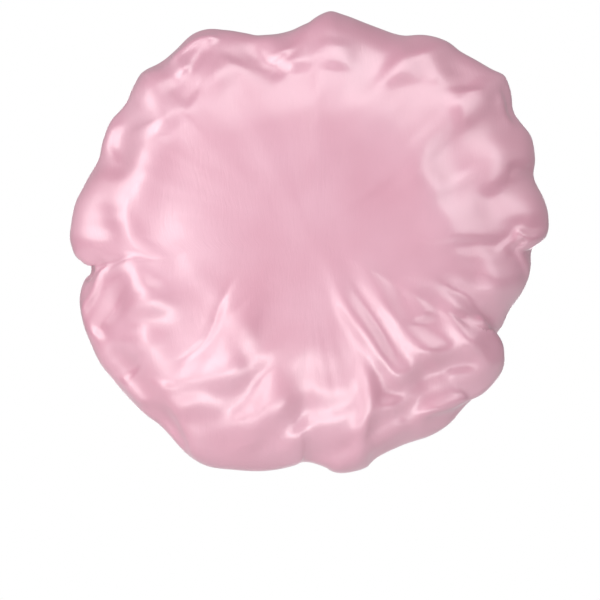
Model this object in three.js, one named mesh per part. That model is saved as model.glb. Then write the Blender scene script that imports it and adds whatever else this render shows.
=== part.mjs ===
// A sleep bonnet of satin, as it sits on a head: two gathered circles of cloth, an outer one and
// its lining, whose edges are sewn into a folded satin band that holds a wide elastic.
// Millimetres. The wearer looks along +Y, +Z is up, and the origin is the middle of the opening.
import * as THREE from "three";

// Opening and band
const OPENING_LENGTH = 190; // forehead to nape, across the inside of the band
const OPENING_WIDTH = 150; // ear to ear
const OPENING_TILT = THREE.MathUtils.degToRad(42); // the nape lies lower than the forehead
const ELASTIC_WIDTH = 28;
const ELASTIC_THICKNESS = 1.4;
const ELASTIC_LAP = 22; // the elastic's ends lie over each other at the nape
const ELASTIC_RAMP = 16; // where the outer end climbs onto the inner one
const CHANNEL_PLAY = 1.4; // room at each edge of the elastic
const SEAM_DEPTH = 9; // how far the crown's edges reach into the band
const RUFFLE_HEIGHT = 1.4; // the band's satin stands off the elastic in small gathers

// Cloth and thread
const CLOTH_THICKNESS = 0.6;
const GAP = 0.35; // air between two plies, or between thread and cloth
const LINING_AIR = 3; // the lining hangs this much further inside the outer circle
const THREAD_THICKNESS = 0.45;
const STITCH_INSET = 3.5; // the seam's stitches below the band's crown edge
const GATHERING_INSET = 6; // the gathering thread below the same edge
const OVERLOCK_HEIGHT = 1;
const LAP_STITCH_LEGS = 4;
const LAP_STITCH_MARGIN = 4;

// Crown, as it stands out behind the head
const CROWN_WIDTH = 412;
const CROWN_HEIGHT = 400;
const CROWN_SIDE_SHIFT = 10.5; // its middle lies to the wearer's right
const CROWN_RISE = 76.5; // its middle above the opening's
const RIM_SETBACK = 50; // the middle of its rim behind the opening's
const RIM_LEAN_SHARE = 0.24; // the rim leans forward by this share of its height
const DOME_DEPTH = 71; // the back swells this far behind the rim
const DOME_ROUNDNESS = 2.6; // 2 is an ellipse, and more is a flatter middle
const LOBE_FADE = 3; // how fast the rim's lobes die out towards the middle
const VALLEY_DEPTH = 16; // the valleys between lobes sink this far into the back
const FOLD_HEIGHT = 7; // the back's tallest folds stand off it this far
const FOLD_HALF_WIDTH = 18; // the widest of them fall away to each side over this
const FRONT_SWELL = 60; // how far the front bellies out before it turns in
const NAPE_SWELL_SHARE = 0.5; // of the front's swell, under the nape
const NECK_RISE = 5; // the crown leaves the band straight for this far
const NECK_FLARE = 2.4; // and outwards by this
const MOUTH_FLARE = 22; // then it spreads outwards by this
const MOUTH_RISE = 12;
const GATHER_HEIGHT = 5; // gathers next to the band, from valley to crest

// The rim seen from behind, lobe by lobe: where each lobe's crest and the valley after it lie, in
// degrees from the wearer's right and up, how far out each reaches, as a share of the even
// ellipse, and how far the valley's fold runs in over the back, as a share of the way to the
// middle.
const RIM_LOBE_SHARES = [
  { crest: 4, out: 1.005, valley: 16, dip: 0.991, run: 0.2 },
  { crest: 26, out: 1.05, valley: 32, dip: 1.039, run: 0.15 },
  { crest: 41, out: 1.11, valley: 51, dip: 1.06, run: 0.25 },
  { crest: 57, out: 1.06, valley: 70, dip: 0.99, run: 0.3 },
  { crest: 85, out: 1.025, valley: 98, dip: 0.933, run: 0.25 },
  { crest: 118, out: 1.045, valley: 127, dip: 1.023, run: 0.35 },
  { crest: 135, out: 1.037, valley: 143, dip: 0.994, run: 0.25 },
  { crest: 149, out: 1.0, valley: 158, dip: 0.969, run: 0.4 },
  { crest: 178, out: 1.016, valley: 187, dip: 0.935, run: 0.45 },
  { crest: 199, out: 1.022, valley: 224, dip: 1.01, run: 0.35 },
  { crest: 245, out: 1.061, valley: 269, dip: 0.953, run: 0.3 },
  { crest: 280, out: 1.008, valley: 293, dip: 0.964, run: 0.5 },
  { crest: 303, out: 0.98, valley: 312, dip: 0.968, run: 0.55 },
  { crest: 326, out: 0.985, valley: 334, dip: 0.885, run: 0.65 },
  { crest: 352, out: 0.939, valley: 358, dip: 0.934, run: 0.35 },
];

// The back's main folds, seen from behind. How tall and how wide each is are shares of the two
// sizes above, and below nought it is a hollow. Its path runs through places to the right of and
// above the rim's middle, as shares of the crown's half width and half height.
const BACK_FOLD_SHARES = [
  // down the left side, a shoulder from the top and its hollows
  { tall: 0.85, wide: 0.9, path: [[-0.69, 0.77], [-0.6, 0.54], [-0.74, 0.2], [-0.72, -0.3], [-0.6, -0.7]] },
  { tall: -0.85, wide: 0.7, path: [[-0.75, 0.64], [-0.79, 0.48], [-0.82, 0.35]] },
  { tall: -0.85, wide: 0.7, path: [[-0.72, -0.21], [-0.81, -0.3], [-0.91, -0.39]] },
  // the top, from the hollow by the tallest lobe round to the right shoulder
  { tall: -0.9, wide: 0.75, path: [[-0.26, 0.87], [-0.2, 0.8], [-0.08, 0.71]] },
  { tall: 0.45, wide: 0.9, path: [[0.04, 0.97], [-0.01, 0.85], [-0.04, 0.7]] },
  { tall: 0.6, wide: 0.75, path: [[0.4, 0.87], [0.49, 0.78], [0.56, 0.68]] },
  { tall: 0.6, wide: 0.65, path: [[0.75, 0.7], [0.68, 0.6], [0.57, 0.56]] },
  { tall: 0.35, wide: 0.8, path: [[0.45, 0.56], [0.47, 0.25], [0.58, -0.07]] },
  // from the middle down to the right
  { tall: 0.75, wide: 0.6, path: [[0.06, -0.02], [0.16, -0.28], [0.3, -0.5], [0.46, -0.69]] },
  { tall: -0.6, wide: 0.5, path: [[0.14, -0.09], [0.28, -0.37], [0.51, -0.6]] },
  { tall: 0.85, wide: 0.6, path: [[0.17, -0.02], [0.31, -0.29], [0.49, -0.5], [0.6, -0.6]] },
  { tall: 0.7, wide: 0.6, path: [[0.52, -0.2], [0.62, -0.28], [0.74, -0.38]] },
  // the bottom
  { tall: 0.85, wide: 0.65, path: [[0.22, -0.45], [0.245, -0.71], [0.18, -1]] },
  { tall: 0.75, wide: 0.8, path: [[-0.28, -0.12], [-0.25, -0.3], [-0.28, -0.45], [-0.4, -0.69]] },
  { tall: 0.55, wide: 0.8, path: [[-0.12, -0.6], [-0.1, -0.78]] },
  { tall: 0.7, wide: 0.65, path: [[-0.12, -0.84], [-0.04, -0.95]] },
];
const FOLD_TAPER_SHARE = 0.18; // of a fold's length, over which it dies out at each end

// How finely the solids are cut up
const COLUMN_COUNT = 60; // round the crown and the band, and even, for the gathers
const DOME_RING_SHARES = [0.3, 0.58, 0.82, 1]; // of the quarter turn to the rim
const FRONT_RING_SHARES = [0.2, 0.45, 0.72, 1]; // of the way from the rim to the band
const ELASTIC_STEPS = 84;
const ELASTIC_RAMP_STEPS = 4;
const ELASTIC_LAP_STEPS = 4;
const FOLD_STEPS = 60;

const FULL_TURN = 2 * Math.PI;
const QUARTER_TURN = Math.PI / 2;
const NAPE = 3 * QUARTER_TURN; // the angle of the nape round the opening
const smooth = (t) => THREE.MathUtils.smoothstep(t, 0, 1);
const { lerp, degToRad } = THREE.MathUtils;

// The band's layers, as distances outwards from the face that touches the head
const ELASTIC_INSIDE = CLOTH_THICKNESS + GAP;
const ELASTIC_OUTSIDE = ELASTIC_INSIDE + ELASTIC_THICKNESS;
const LAP_RISE = ELASTIC_THICKNESS + GAP;
const LAP_STITCH_INSIDE = ELASTIC_OUTSIDE + LAP_RISE + GAP;
const LINING_INSIDE = CLOTH_THICKNESS + GAP;
const CROWN_INSIDE = LINING_INSIDE + CLOTH_THICKNESS + GAP;
const CROWN_OUTSIDE = CROWN_INSIDE + CLOTH_THICKNESS;
const GATHERING_INSIDE = CROWN_OUTSIDE + GAP;
const SEAM_OUTSIDE = GATHERING_INSIDE + THREAD_THICKNESS + GAP;
const BAND_ROOM = Math.max(ELASTIC_OUTSIDE + GAP, SEAM_OUTSIDE);
const LAP_OUTSIDE = LAP_STITCH_INSIDE + THREAD_THICKNESS + GAP;
const LAP_SWELL = Math.max(0, LAP_OUTSIDE - BAND_ROOM);

// The band's levels, from the skin edge up to the crown edge
const SEAM_ROOM = SEAM_DEPTH + GAP + OVERLOCK_HEIGHT + GAP;
const BAND_WIDTH = CLOTH_THICKNESS + CHANNEL_PLAY + ELASTIC_WIDTH + CHANNEL_PLAY + SEAM_ROOM;
const BAND_BOTTOM = -BAND_WIDTH / 2;
const BAND_TOP = BAND_WIDTH / 2;
const CHANNEL_BOTTOM = BAND_BOTTOM + CLOTH_THICKNESS;
const ELASTIC_BOTTOM = CHANNEL_BOTTOM + CHANNEL_PLAY;
const ELASTIC_TOP = ELASTIC_BOTTOM + ELASTIC_WIDTH;
const CHANNEL_TOP = ELASTIC_TOP + CHANNEL_PLAY;
const SEAM_END = BAND_TOP - SEAM_DEPTH;

// At the nape, one radian round the opening is this long.
const NAPE_RADIUS = OPENING_WIDTH / 2;
const LAP_HALF_ANGLE = ELASTIC_LAP / 2 / NAPE_RADIUS;
const RAMP_ANGLE = ELASTIC_RAMP / NAPE_RADIUS;

// A place by the opening: the inner oval, moved outwards by `radial` and up the band by `level`.
function ovalPoint(angle, radial, level) {
  const halfWidth = OPENING_WIDTH / 2;
  const halfLength = OPENING_LENGTH / 2;
  const out = ovalOutward(angle);
  return new THREE.Vector3(
    halfWidth * Math.cos(angle) + radial * out.x,
    halfLength * Math.sin(angle) + radial * out.y,
    level,
  );
}

function ovalOutward(angle) {
  const across = OPENING_LENGTH * Math.cos(angle);
  return new THREE.Vector3(across, OPENING_WIDTH * Math.sin(angle), 0).normalize();
}

// A closed solid from rings of points that all have the same count. It ends in the two poles, or
// without poles the last ring joins the first.
function solidFromRings(rings, poles) {
  const count = rings[0].length;
  const points = [...rings.flat(), ...(poles ?? [])];
  const faces = [];
  rings.forEach((ring, place) => {
    if (poles && place === rings.length - 1) return;
    const next = (place + 1) % rings.length;
    for (let side = 0; side < count; side++) {
      const beside = (side + 1) % count;
      const corners = [place * count + side, place * count + beside];
      corners.push(next * count + beside, next * count + side);
      faces.push(corners[0], corners[2], corners[1], corners[0], corners[3], corners[2]);
    }
  });
  if (poles) {
    const firstPole = rings.length * count;
    const lastRing = (rings.length - 1) * count;
    for (let side = 0; side < count; side++) {
      const beside = (side + 1) % count;
      faces.push(firstPole, side, beside);
      faces.push(firstPole + 1, lastRing + beside, lastRing + side);
    }
  }
  return closedGeometry(points, faces);
}

function closedGeometry(points, faces) {
  const geometry = new THREE.BufferGeometry().setFromPoints(points);
  geometry.setIndex(faces);
  geometry.computeVertexNormals();
  return geometry;
}

const middleOf = (ring) =>
  ring.reduce((sum, point) => sum.add(point), new THREE.Vector3()).divideScalar(ring.length);

// A ring round the opening, with the section [radial, level] points that `section` gives.
function ringRound(section) {
  const rings = [];
  for (let column = 0; column < COLUMN_COUNT; column++) {
    const angle = (column / COLUMN_COUNT) * FULL_TURN;
    rings.push(section(angle, column).map(([radial, level]) => ovalPoint(angle, radial, level)));
  }
  return solidFromRings(rings);
}

// A strip bent round the opening, from a list of sections that have two ends.
function strip(sections) {
  return solidFromRings(sections, [middleOf(sections[0]), middleOf(sections.at(-1))]);
}

const block = (inside, outside, bottom, top) => [
  [outside, bottom],
  [outside, top],
  [inside, top],
  [inside, bottom],
];

// How far the band's plies stand off at a level, for the small gathers and for the lap.
function ruffleAt(column, level) {
  const crest = column % 2 === 0 ? RUFFLE_HEIGHT : 0;
  const middle = (CHANNEL_TOP + CHANNEL_BOTTOM) / 2;
  if (level > CHANNEL_TOP) return (crest / 2) * ((BAND_TOP - level) / (BAND_TOP - CHANNEL_TOP));
  return crest * (1 - Math.abs(level - middle) / (CHANNEL_TOP - CHANNEL_BOTTOM));
}

function lapSwellAt(angle, level) {
  const fromNape = Math.abs(Math.atan2(Math.sin(angle - NAPE), Math.cos(angle - NAPE)));
  const swell = LAP_SWELL * (1 - smooth((fromNape - LAP_HALF_ANGLE - RAMP_ANGLE) / RAMP_ANGLE));
  if (level > CHANNEL_TOP) return swell * ((BAND_TOP - level) / (BAND_TOP - CHANNEL_TOP));
  return swell;
}

// The inner face of the band's outer ply.
function outerPlyInside(angle, column, level) {
  return BAND_ROOM + ruffleAt(column, level) + lapSwellAt(angle, level);
}

// The band's satin, folded round the elastic, with both free edges at the crown.
function casingSection(angle, column) {
  const middle = (CHANNEL_TOP + CHANNEL_BOTTOM) / 2;
  const levels = [BAND_TOP, CHANNEL_TOP, middle, CHANNEL_BOTTOM];
  const outer = levels.map((level) => [outerPlyInside(angle, column, level), level]);
  const inner = levels.map((level) => [-ruffleAt(column, level), level]);
  const thicker = ([radial, level]) => [radial + CLOTH_THICKNESS, level];
  return [
    ...outer,
    ...inner.map(thicker).toReversed(),
    ...inner,
    [CLOTH_THICKNESS, BAND_BOTTOM],
    [outer.at(-1)[0], BAND_BOTTOM],
    ...outer.map(thicker).toReversed(),
  ];
}

// A thread round the band, on a face at the distance that `face` gives.
function threadRound(inset, face) {
  const middle = BAND_TOP - inset;
  const half = THREAD_THICKNESS / 2;
  return ringRound((angle, column) => {
    const inside = face(angle, column, middle);
    const core = inside + half;
    return [
      [core, middle - half],
      [core + half, middle],
      [core, middle + half],
      [inside, middle],
    ];
  });
}

const needleFace = (angle, column, level) =>
  outerPlyInside(angle, column, level - THREAD_THICKNESS) + CLOTH_THICKNESS + GAP;
const bobbinFace = (angle, column, level) =>
  -ruffleAt(column, level - THREAD_THICKNESS) - GAP - THREAD_THICKNESS;

// The overlock lies against the raw edges of both circles.
function overlockSection() {
  const top = SEAM_END - GAP;
  return block(LINING_INSIDE, CROWN_OUTSIDE, top - OVERLOCK_HEIGHT, top);
}

// The elastic is one strip, bent round the head, whose outer end climbs onto its inner end.
function elasticSection(angle) {
  const climbed = (angle - FULL_TURN - NAPE + LAP_HALF_ANGLE + RAMP_ANGLE) / RAMP_ANGLE;
  const rise = LAP_RISE * smooth(climbed);
  const inside = ELASTIC_INSIDE + rise;
  const corners = block(inside, inside + ELASTIC_THICKNESS, ELASTIC_BOTTOM, ELASTIC_TOP);
  return corners.map(([radial, level]) => ovalPoint(angle, radial, level));
}

function elasticGeometry() {
  const innerEnd = NAPE - LAP_HALF_ANGLE;
  const lapStart = innerEnd + FULL_TURN;
  const rampStart = lapStart - RAMP_ANGLE;
  const outerEnd = lapStart + 2 * LAP_HALF_ANGLE;
  const sections = [];
  const bend = (from, to, steps) => {
    for (let step = 0; step < steps; step++) {
      sections.push(elasticSection(lerp(from, to, step / steps)));
    }
  };
  bend(innerEnd, rampStart, ELASTIC_STEPS);
  bend(rampStart, lapStart, ELASTIC_RAMP_STEPS);
  bend(lapStart, outerEnd, ELASTIC_LAP_STEPS);
  sections.push(elasticSection(outerEnd));
  return strip(sections);
}

// A zigzag of thread on the lap, mitred at its corners.
function lapThreadGeometry() {
  const reach = ELASTIC_LAP / 2 - LAP_STITCH_MARGIN;
  const low = ELASTIC_BOTTOM + LAP_STITCH_MARGIN;
  const high = ELASTIC_TOP - LAP_STITCH_MARGIN;
  const legStep = (2 * reach) / LAP_STITCH_LEGS;
  const half = ((THREAD_THICKNESS / 2) * Math.hypot(legStep, high - low)) / legStep;
  const sections = [];
  for (let corner = 0; corner <= LAP_STITCH_LEGS; corner++) {
    const angle = NAPE + (corner * legStep - reach) / NAPE_RADIUS;
    const level = corner % 2 === 0 ? low : high;
    const outside = LAP_STITCH_INSIDE + THREAD_THICKNESS;
    const corners = block(LAP_STITCH_INSIDE, outside, level - half, level + half);
    sections.push(corners.map(([radial, height]) => ovalPoint(angle, radial, height)));
  }
  return strip(sections);
}

// The crown's columns. The one nearest to each crest or valley is drawn to it.
function rimColumns() {
  const marks = RIM_LOBE_SHARES.flatMap((lobe, place) => {
    const before = RIM_LOBE_SHARES.at(place - 1);
    return [
      { angle: lobe.crest, out: lobe.out, fold: 0, run: (before.run + lobe.run) / 2 },
      { angle: lobe.valley, out: lobe.dip, fold: 1, run: lobe.run },
    ];
  });
  const columnOf = (mark) => Math.round((mark.angle / 360) * COLUMN_COUNT);
  const columns = [];
  marks.forEach((mark, place) => {
    const wraps = place === marks.length - 1;
    const after = wraps ? { ...marks[0], angle: marks[0].angle + 360 } : marks[place + 1];
    const start = columnOf(mark);
    const end = columnOf(after);
    for (let column = start; column < end; column++) {
      const t = (column - start) / (end - start);
      columns[column % COLUMN_COUNT] = {
        rimAngle: degToRad(lerp(mark.angle, after.angle, t)),
        out: lerp(mark.out, after.out, smooth(t)),
        fold: lerp(mark.fold, after.fold, smooth(t)),
        run: lerp(mark.run, after.run, t),
      };
    }
  });
  return columns;
}

const COLUMNS = rimColumns();
const bandAngleOf = (column) => (column / COLUMN_COUNT) * FULL_TURN;
const bandTurn = new THREE.Matrix4().makeRotationX(OPENING_TILT);
const rimMiddle = new THREE.Vector3(CROWN_SIDE_SHIFT, -RIM_SETBACK, CROWN_RISE);

const BACK_FOLDS = BACK_FOLD_SHARES.map(({ tall, wide, path }) => {
  const places = path.map(
    ([right, up]) => new THREE.Vector2((right * CROWN_WIDTH) / 2, (up * CROWN_HEIGHT) / 2),
  );
  const crest = new THREE.SplineCurve(places).getSpacedPoints(FOLD_STEPS);
  return { height: tall * FOLD_HEIGHT, halfWidth: wide * FOLD_HALF_WIDTH, crest };
});

// How far the folds stand off the back at a place, measured from the rim's middle.
function foldsAt(x, z) {
  const place = new THREE.Vector2(x, z);
  return BACK_FOLDS.reduce((total, { height, halfWidth, crest }) => {
    const gaps = crest.map((point) => point.distanceTo(place));
    const nearest = gaps.indexOf(Math.min(...gaps));
    const along = nearest / FOLD_STEPS;
    const taper = smooth(along / FOLD_TAPER_SHARE) * smooth((1 - along) / FOLD_TAPER_SHARE);
    return total + height * taper * Math.exp(-((gaps[nearest] / halfWidth) ** 2));
  }, 0);
}

// A place on the back: `turn` runs from 0 at the middle to a quarter turn at the rim. The folds
// stand off it backwards, and die out where it turns round to the front.
function domePoint({ rimAngle, out, fold, run }, turn) {
  const even = Math.sin(turn) ** (2 / DOME_ROUNDNESS);
  const reach = even * (1 + (out - 1) * even ** LOBE_FADE);
  const x = (CROWN_WIDTH / 2) * reach * Math.cos(rimAngle);
  const z = (CROWN_HEIGHT / 2) * reach * Math.sin(rimAngle);
  const sink = VALLEY_DEPTH * fold * smooth((even - 1 + run) / run) * Math.cos(turn);
  const rise = foldsAt(x, z) * smooth(2 * Math.cos(turn));
  const y = z * RIM_LEAN_SHARE - DOME_DEPTH * Math.cos(turn) + sink - rise;
  return new THREE.Vector3(x, y, z).add(rimMiddle);
}

// A place on the front: `share` runs from 0 at the rim to 1 just above the band.
function frontPoint(column, share) {
  const rim = domePoint(COLUMNS[column], QUARTER_TURN);
  const height = (1 + Math.sin(COLUMNS[column].rimAngle)) / 2;
  const swell = FRONT_SWELL * lerp(NAPE_SWELL_SHARE, 1, smooth(height));
  const angle = bandAngleOf(column);
  const neck = ovalPoint(angle, CROWN_OUTSIDE + NECK_FLARE, BAND_TOP + NECK_RISE);
  const mouth = ovalPoint(angle, CROWN_OUTSIDE + MOUTH_FLARE, BAND_TOP + MOUTH_RISE);
  const curve = new THREE.CubicBezierCurve3(
    rim,
    rim.clone().add(new THREE.Vector3(0, swell, 0)),
    mouth.applyMatrix4(bandTurn),
    neck.applyMatrix4(bandTurn),
  );
  return curve.getPoint(share);
}

// The crown's outer face without its gathers, in rings from the back's middle to the raw edge,
// and how much of the gathers and of the air between the two circles each ring has.
function crownRings() {
  const columns = COLUMNS.map((_, column) => column);
  const rings = DOME_RING_SHARES.map((turnShare) => ({
    points: COLUMNS.map((column) => domePoint(column, turnShare * QUARTER_TURN)),
    gather: 0,
    air: 1,
  }));
  FRONT_RING_SHARES.forEach((share) => {
    rings.push({
      points: columns.map((column) => frontPoint(column, share)),
      gather: smooth(2 * share) * (share < 1 ? 1 : 1 / 2),
      air: 1 - smooth(share),
    });
  });
  return rings;
}

const CROWN_RINGS = crownRings();
const BACK_MIDDLE = new THREE.Vector3(0, -DOME_DEPTH - foldsAt(0, 0), 0).add(rimMiddle);

// The direction out of the crown at a ring and column, from the points around it.
function crownOutward(ring, column) {
  const { points } = CROWN_RINGS[ring];
  const angle = bandAngleOf(column);
  const edge = ovalPoint(angle, CROWN_OUTSIDE, BAND_TOP).applyMatrix4(bandTurn);
  const before = CROWN_RINGS[ring - 1]?.points[column] ?? BACK_MIDDLE;
  const after = CROWN_RINGS[ring + 1]?.points[column] ?? edge;
  const left = points[(column + 1) % COLUMN_COUNT];
  const right = points[(column + COLUMN_COUNT - 1) % COLUMN_COUNT];
  const along = after.clone().sub(before);
  return along.cross(left.clone().sub(right)).normalize();
}

// One face of a crown ply: `depth` below the crown's outer face, and `air` deeper past the seam.
function crownFace(depth, air) {
  const faces = CROWN_RINGS.map((ring, place) =>
    ring.points.map((point, column) => {
      const gather = ((column % 2 === 0 ? 1 : -1) * ring.gather * GATHER_HEIGHT) / 2;
      const move = gather - depth - air * ring.air;
      return point.clone().addScaledVector(crownOutward(place, column), move);
    }),
  );
  for (const level of [BAND_TOP, SEAM_END]) {
    faces.push(
      COLUMNS.map((_, column) =>
        ovalPoint(bandAngleOf(column), CROWN_OUTSIDE - depth, level).applyMatrix4(bandTurn),
      ),
    );
  }
  return faces;
}

// A gathered circle of cloth. Both its faces are split into triangles alike, so that they keep
// their distance, and they meet round the raw edge.
function crownGeometry(depth, air) {
  const faceDepths = [depth, depth + CLOTH_THICKNESS];
  const sheets = faceDepths.map((deep) => [
    new THREE.Vector3(0, deep + air, 0).add(BACK_MIDDLE),
    ...crownFace(deep, air).flat(),
  ]);
  const size = sheets[0].length;
  const faces = [];
  const add = (a, b, c) => faces.push(a, b, c, size + a, size + c, size + b);
  for (let column = 0; column < COLUMN_COUNT; column++) {
    const beside = (column + 1) % COLUMN_COUNT;
    add(0, 1 + column, 1 + beside);
    for (let start = 1; start + COLUMN_COUNT < size; start += COLUMN_COUNT) {
      const next = start + COLUMN_COUNT;
      add(start + column, next + column, next + beside);
      add(start + column, next + beside, start + beside);
    }
    const edge = size - COLUMN_COUNT;
    faces.push(edge + column, size + edge + column, size + edge + beside);
    faces.push(edge + column, size + edge + beside, edge + beside);
  }
  return closedGeometry(sheets.flat(), faces);
}

const SATIN_PINK = "#eab9c8";
const ELASTIC_WHITE = "#f1ece9";
const THREAD_PINK = "#e3abbc";

function cloth(color) {
  return new THREE.MeshStandardMaterial({ color, roughness: 0.35, metalness: 0 });
}

function matte(color) {
  return new THREE.MeshStandardMaterial({ color, roughness: 0.8, metalness: 0 });
}

function named(name, geometry, material) {
  const mesh = new THREE.Mesh(geometry, material);
  mesh.name = name;
  return mesh;
}

const crown = new THREE.Group();
crown.add(
  named("crown_outer", crownGeometry(0, 0), cloth(SATIN_PINK)),
  named("crown_lining", crownGeometry(CLOTH_THICKNESS + GAP, LINING_AIR), cloth(SATIN_PINK)),
);

const band = new THREE.Group();
band.rotation.x = OPENING_TILT;
band.add(
  named("band_casing", ringRound(casingSection), cloth(SATIN_PINK)),
  named("elastic_band", elasticGeometry(), matte(ELASTIC_WHITE)),
  named("elastic_lap_thread", lapThreadGeometry(), matte(THREAD_PINK)),
  named("gathering_thread", threadRound(GATHERING_INSET, () => GATHERING_INSIDE), matte(THREAD_PINK)),
  named("overlock_thread", ringRound(overlockSection), matte(THREAD_PINK)),
  named("seam_needle_thread", threadRound(STITCH_INSET, needleFace), matte(THREAD_PINK)),
  named("seam_bobbin_thread", threadRound(STITCH_INSET, bobbinFace), matte(THREAD_PINK)),
);

const bonnet = new THREE.Group();
bonnet.add(crown, band);

export default bonnet;
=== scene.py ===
# A satin sleep bonnet, dressed round its solid model: the crown and its lining as gathered cloth,
# the ruched band, and its stitches. Metres, in the model's frame. The view is from behind.
import math
import bpy
import numpy as np
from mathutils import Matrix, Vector, noise

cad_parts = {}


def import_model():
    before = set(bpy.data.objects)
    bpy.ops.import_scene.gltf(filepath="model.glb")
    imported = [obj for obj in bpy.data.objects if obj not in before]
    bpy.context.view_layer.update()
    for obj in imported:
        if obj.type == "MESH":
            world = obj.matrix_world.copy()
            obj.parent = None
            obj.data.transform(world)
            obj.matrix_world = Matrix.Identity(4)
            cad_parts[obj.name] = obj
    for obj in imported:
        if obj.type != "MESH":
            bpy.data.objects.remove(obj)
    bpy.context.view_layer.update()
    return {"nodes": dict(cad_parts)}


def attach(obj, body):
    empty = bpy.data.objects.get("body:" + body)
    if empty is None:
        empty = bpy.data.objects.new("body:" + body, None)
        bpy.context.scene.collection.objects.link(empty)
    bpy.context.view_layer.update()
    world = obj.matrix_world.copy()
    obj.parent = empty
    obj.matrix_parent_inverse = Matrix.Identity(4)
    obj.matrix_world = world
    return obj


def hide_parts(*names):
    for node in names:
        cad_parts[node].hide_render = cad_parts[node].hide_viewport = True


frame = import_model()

MM = 0.001
TAU = 2 * math.pi
TINY = 1e-12

# The band, as in the solid model
OPENING_LENGTH = 190 * MM
OPENING_WIDTH = 150 * MM
OPENING_TILT = math.radians(42)
BAND_HALF = 21.05 * MM
LAP_HALF, LAP_RAMP = 11 * MM, 16 * MM
ELASTIC_HALF = 14 * MM
SEAM_DEPTH = 9 * MM
CROWN_SEAM_FACE = 2.5 * MM
NAPE = 1.5 * math.pi

# The crown, as in the solid model
CROWN_HALF_WIDTH = 206 * MM
CROWN_HALF_HEIGHT = 200 * MM
RIM_MIDDLE = np.array([10.5, -50, 76.5]) * MM
RIM_LEAN = 0.24
DOME_DEPTH = 66 * MM
DOME_ROUNDNESS = 2.9
LOBE_FADE = 3
FRONT_SWELL = 60 * MM
NAPE_SWELL_SHARE = 0.5
NECK_RISE, NECK_FLARE = 5 * MM, 2.4 * MM
MOUTH_RISE, MOUTH_FLARE = 12 * MM, 22 * MM

# The photograph's frame is 600 pixels square. At the rim's distance a pixel is this wide.
PIXEL = 0.87 * MM
PHOTO_MIDDLE = (1.7 * MM, 25.2 * MM)
PHOTO_WIDTH = 600 * PIXEL
CAMERA_DISTANCE = 3.0
SENSOR_WIDTH = 36
RIM_PIXEL = (310, 241)
OUTLINE_EASE = 1.9 * MM

# The rim seen from behind, in pixels: its crests, its valleys and its shoulders.
OUTLINE = [
    (546, 217), (542, 200), (532, 177), (533, 157), (530, 137), (513, 113), (510, 90), (503, 75),
    (487, 67), (460, 52), (447, 43), (430, 37), (400, 35), (377, 28), (343, 15), (330, 12),
    (320, 16), (310, 24), (290, 32), (260, 36), (247, 34), (227, 31), (207, 31), (193, 36),
    (177, 50), (163, 60), (143, 73), (135, 87), (128, 103), (113, 120), (105, 140), (100, 160),
    (87, 183), (77, 203), (73, 223), (73, 243), (83, 257), (92, 266), (87, 277), (82, 300),
    (85, 323), (93, 343), (103, 363), (117, 383), (143, 410), (170, 433), (193, 457), (207, 465),
    (233, 469), (273, 468), (293, 464), (304, 461), (320, 465), (334, 471), (350, 471), (367, 466),
    (377, 457), (390, 450), (410, 442), (433, 433), (447, 423), (460, 410), (470, 401), (490, 384),
    (501, 367), (500, 352), (492, 341), (500, 328), (507, 310), (522, 288), (529, 266), (530, 249),
    (544, 235),
]


def smooth(t):
    t = np.clip(t, 0, 1)
    return t * t * (3 - 2 * t)


def seen_place(pixels):
    """Pixels of the rim as metres right of and above its middle, for its lean and distance."""
    pixels = np.asarray(pixels, float)
    x, z = (pixels[..., 0] - RIM_PIXEL[0]) * PIXEL, (RIM_PIXEL[1] - pixels[..., 1]) * PIXEL
    nearer = 1 + z * RIM_LEAN / CAMERA_DISTANCE
    return x * nearer, z * nearer


def closed_curve(pixels, at):
    """A smooth closed curve through pixels round the rim's middle: its reach at angles."""
    across, up = seen_place(pixels)
    degrees = np.degrees(np.arctan2(up, across)) % 360
    order = np.argsort(degrees)
    degrees, values = degrees[order], np.hypot(across, up)[order] + OUTLINE_EASE
    x = np.concatenate([degrees[-2:] - 360, degrees, degrees[:3] + 360])
    y = np.concatenate([values[-2:], values, values[:3]])
    slope = (y[2:] - y[:-2]) / (x[2:] - x[:-2])
    slope = np.concatenate([[0], slope, [0]])
    where = np.degrees(at) % 360
    i = np.clip(np.searchsorted(x, where, side="right") - 1, 0, len(x) - 2)
    span = x[i + 1] - x[i]
    t = (where - x[i]) / span
    a = (1 + 2 * t) * (1 - t) ** 2 * y[i] + t * (1 - t) ** 2 * span * slope[i]
    b = t * t * (3 - 2 * t) * y[i + 1] + t * t * (t - 1) * span * slope[i + 1]
    return a + b


def normalized(vectors):
    return vectors / np.maximum(np.linalg.norm(vectors, axis=-1, keepdims=True), TINY)


def tilted(points):
    """From the band's own frame, where z runs up the band, to the model's frame."""
    c, s = math.cos(OPENING_TILT), math.sin(OPENING_TILT)
    x, y, z = points[..., 0], points[..., 1], points[..., 2]
    return np.stack([x, c * y - s * z, s * y + c * z], axis=-1)


def oval(angle, radial, level):
    """A place by the opening, in the band's own frame."""
    angle, radial, level = np.broadcast_arrays(angle, radial, level)
    nx, ny = OPENING_LENGTH * np.cos(angle), OPENING_WIDTH * np.sin(angle)
    size = np.hypot(nx, ny)
    x = OPENING_WIDTH / 2 * np.cos(angle) + radial * nx / size
    y = OPENING_LENGTH / 2 * np.sin(angle) + radial * ny / size
    return np.stack([x, y, level], axis=-1)


CLOTH_UV = "cloth"


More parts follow.
